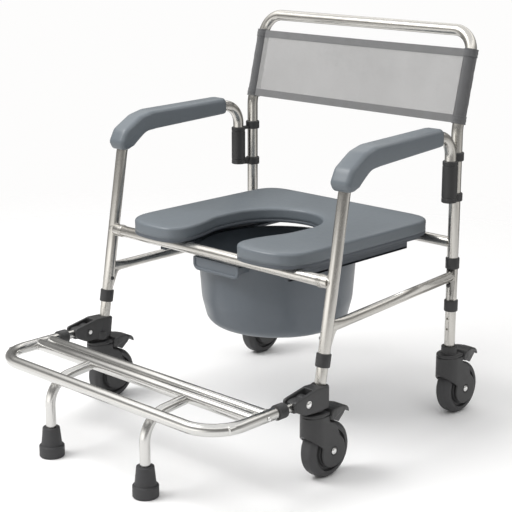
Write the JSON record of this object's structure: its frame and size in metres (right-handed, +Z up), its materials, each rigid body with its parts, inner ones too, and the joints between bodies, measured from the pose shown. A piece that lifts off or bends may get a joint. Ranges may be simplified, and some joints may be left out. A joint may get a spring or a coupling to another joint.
{
  "type": "commode chair",
  "caption": "Wheeled commode chair: tubular frame, mesh back, padded arms, horseshoe seat over a slide-out bucket, fold-up footrest and braked swivel casters.",
  "frame": {"origin": "on the floor, midway between the footrest's front and the rear casters' brake pedals, on the chair's mirror plane", "axes": "+Z up; the sitter faces -Y; +X is the sitter's left"},
  "size_m": [0.736, 0.908, 0.8856],
  "materials": {
    "tube_aluminium": "satin anodised, fine drawn grain along the tube",
    "bright_aluminium": "brighter polished tube",
    "bolt_steel": "zinc-plated, bright",
    "black_plastic": "fine matte grain",
    "wheel_tyre": "dark grey moulded tread",
    "ferrule_rubber": "matte rubber",
    "moulded_foam": "satin moulded polyurethane skin, slate grey",
    "bucket_plastic": "semi-gloss moulded polypropylene, slate grey",
    "seat_board": "matte dark slate plastic",
    "sling_mesh": "open woven mesh with darker bound edges"
  },
  "bodies": {
    "chair_frame": {"backrest_frame": "tube_aluminium", "rear_crossbar": "tube_aluminium", "front_crossbar": "tube_aluminium", "back_sling": "sling_mesh", "seat_cushion": "moulded_foam", "seat_board": "seat_board", "left_side_tube": "tube_aluminium", "right_side_tube": "tube_aluminium", "left_rear_lower_tube": "tube_aluminium", "right_rear_lower_tube": "tube_aluminium", "left_arm_socket": "black_plastic", "right_arm_socket": "black_plastic", "left_arm_pad": "moulded_foam", "right_arm_pad": "moulded_foam", "left_bucket_rail": "seat_board", "right_bucket_rail": "seat_board", "rear_left_upper_collar": "black_plastic", "rear_right_upper_collar": "black_plastic", "rear_left_lower_collar": "black_plastic", "rear_right_lower_collar": "black_plastic", "front_left_collar": "black_plastic", "front_right_collar": "black_plastic"},
    "front_undercarriage": {"front_left_inner_leg": "tube_aluminium", "front_right_inner_leg": "tube_aluminium", "left_footrest_bracket": "black_plastic", "right_footrest_bracket": "black_plastic", "left_bracket_bolt": "bolt_steel", "right_bracket_bolt": "bolt_steel"},
    "rear_left_leg": {"rear_left_inner_leg": "tube_aluminium"},
    "rear_right_leg": {"rear_right_inner_leg": "tube_aluminium"},
    "front_left_caster": {"front_left_caster_fork": "black_plastic", "front_left_axle_bolt": "bolt_steel"},
    "front_left_wheel": {"front_left_wheel": "wheel_tyre"},
    "front_left_brake": {"front_left_brake_pedal": "black_plastic"},
    "front_right_caster": {"front_right_caster_fork": "black_plastic", "front_right_axle_bolt": "bolt_steel"},
    "front_right_wheel": {"front_right_wheel": "wheel_tyre"},
    "front_right_brake": {"front_right_brake_pedal": "black_plastic"},
    "rear_left_caster": {"rear_left_caster_fork": "black_plastic", "rear_left_axle_bolt": "bolt_steel"},
    "rear_left_wheel": {"rear_left_wheel": "wheel_tyre"},
    "rear_left_brake": {"rear_left_brake_pedal": "black_plastic"},
    "rear_right_caster": {"rear_right_caster_fork": "black_plastic", "rear_right_axle_bolt": "bolt_steel"},
    "rear_right_wheel": {"rear_right_wheel": "wheel_tyre"},
    "rear_right_brake": {"rear_right_brake_pedal": "black_plastic"},
    "footrest_arms": {"left_footrest_arm": "bright_aluminium", "right_footrest_arm": "bright_aluminium"},
    "footrest": {"footrest_frame": "bright_aluminium", "left_footrest_collar": "black_plastic", "right_footrest_collar": "black_plastic", "left_footrest_ferrule": "ferrule_rubber", "right_footrest_ferrule": "ferrule_rubber"},
    "bucket": {"bucket": "bucket_plastic"},
    "rear_left_leg_pin": {"rear_left_leg_pin": "black_plastic"},
    "front_left_leg_pin": {"front_left_leg_pin": "black_plastic"},
    "left_footrest_pin": {"left_footrest_pin": "bolt_steel"},
    "rear_right_leg_pin": {"rear_right_leg_pin": "black_plastic"},
    "front_right_leg_pin": {"front_right_leg_pin": "black_plastic"},
    "right_footrest_pin": {"right_footrest_pin": "bolt_steel"}
  },
  "joints": [
    {"name": "leg_height", "type": "slide", "parent": "chair_frame", "child": "front_undercarriage", "axis": [0, 0.1687, 0.9857], "range_m": [-0.05, 0]},
    {"name": "rear_left_leg_height", "type": "slide", "parent": "chair_frame", "child": "rear_left_leg", "axis": [0, 0, 1], "range_m": [-0.05, 0]},
    {"name": "rear_right_leg_height", "type": "slide", "parent": "chair_frame", "child": "rear_right_leg", "axis": [0, 0, 1], "range_m": [-0.05, 0]},
    {"name": "front_left_caster_swivel", "type": "hinge", "parent": "front_undercarriage", "child": "front_left_caster", "pos_m": [0.337, -0.133, 0.15], "axis": [0, 0, 1], "continuous": true},
    {"name": "front_left_wheel_spin", "type": "hinge", "parent": "front_left_caster", "child": "front_left_wheel", "pos_m": [0.337, -0.101, 0.06], "axis": [1, 0, 0], "continuous": true},
    {"name": "front_left_brake_press", "type": "hinge", "parent": "front_left_caster", "child": "front_left_brake", "pos_m": [0.337, -0.113, 0.137], "axis": [1, 0, 0], "range_deg": [-10, 0]},
    {"name": "front_right_caster_swivel", "type": "hinge", "parent": "front_undercarriage", "child": "front_right_caster", "pos_m": [-0.337, -0.133, 0.15], "axis": [0, 0, 1], "continuous": true},
    {"name": "front_right_wheel_spin", "type": "hinge", "parent": "front_right_caster", "child": "front_right_wheel", "pos_m": [-0.337, -0.101, 0.06], "axis": [1, 0, 0], "continuous": true},
    {"name": "front_right_brake_press", "type": "hinge", "parent": "front_right_caster", "child": "front_right_brake", "pos_m": [-0.337, -0.113, 0.137], "axis": [1, 0, 0], "range_deg": [-10, 0]},
    {"name": "rear_left_caster_swivel", "type": "hinge", "parent": "rear_left_leg", "child": "rear_left_caster", "pos_m": [0.312, 0.358, 0.15], "axis": [0, 0, 1], "continuous": true},
    {"name": "rear_left_wheel_spin", "type": "hinge", "parent": "rear_left_caster", "child": "rear_left_wheel", "pos_m": [0.312, 0.39, 0.06], "axis": [1, 0, 0], "continuous": true},
    {"name": "rear_left_brake_press", "type": "hinge", "parent": "rear_left_caster", "child": "rear_left_brake", "pos_m": [0.312, 0.378, 0.137], "axis": [1, 0, 0], "range_deg": [-10, 0]},
    {"name": "rear_right_caster_swivel", "type": "hinge", "parent": "rear_right_leg", "child": "rear_right_caster", "pos_m": [-0.312, 0.358, 0.15], "axis": [0, 0, 1], "continuous": true},
    {"name": "rear_right_wheel_spin", "type": "hinge", "parent": "rear_right_caster", "child": "rear_right_wheel", "pos_m": [-0.312, 0.39, 0.06], "axis": [1, 0, 0], "continuous": true},
    {"name": "rear_right_brake_press", "type": "hinge", "parent": "rear_right_caster", "child": "rear_right_brake", "pos_m": [-0.312, 0.378, 0.137], "axis": [1, 0, 0], "range_deg": [-10, 0]},
    {"name": "footrest_fold", "type": "hinge", "parent": "front_undercarriage", "child": "footrest_arms", "pos_m": [0, -0.173, 0.179], "axis": [-1, 0, 0], "range_deg": [0, 95]},
    {"name": "footrest_length", "type": "slide", "parent": "footrest_arms", "child": "footrest", "axis": [0, -1, 0], "range_m": [0, 0.05]},
    {"name": "bucket_slide", "type": "slide", "parent": "chair_frame", "child": "bucket", "axis": [0, 1, 0], "range_m": [-0.3, 0]},
    {"name": "rear_left_leg_pin_pull", "type": "slide", "parent": "chair_frame", "child": "rear_left_leg_pin", "axis": [0, -1, 0], "range_m": [0, 0.004], "stiffness_N_per_m": 200, "springref_m": -0.002},
    {"name": "front_left_leg_pin_pull", "type": "slide", "parent": "chair_frame", "child": "front_left_leg_pin", "axis": [-1, 0, 0], "range_m": [0, 0.004], "stiffness_N_per_m": 200, "springref_m": -0.002},
    {"name": "left_footrest_pin_pull", "type": "slide", "parent": "footrest", "child": "left_footrest_pin", "axis": [1, 0, 0], "range_m": [0, 0.004], "stiffness_N_per_m": 200, "springref_m": -0.002},
    {"name": "rear_right_leg_pin_pull", "type": "slide", "parent": "chair_frame", "child": "rear_right_leg_pin", "axis": [0, -1, 0], "range_m": [0, 0.004], "stiffness_N_per_m": 200, "springref_m": -0.002},
    {"name": "front_right_leg_pin_pull", "type": "slide", "parent": "chair_frame", "child": "front_right_leg_pin", "axis": [1, 0, 0], "range_m": [0, 0.004], "stiffness_N_per_m": 200, "springref_m": -0.002},
    {"name": "right_footrest_pin_pull", "type": "slide", "parent": "footrest", "child": "right_footrest_pin", "axis": [-1, 0, 0], "range_m": [0, 0.004], "stiffness_N_per_m": 200, "springref_m": -0.002}
  ],
  "couplings": [
    {"joint": "rear_left_leg_height", "follows": "leg_height", "ratio": 0.98566},
    {"joint": "rear_right_leg_height", "follows": "leg_height", "ratio": 0.98566}
  ]
}
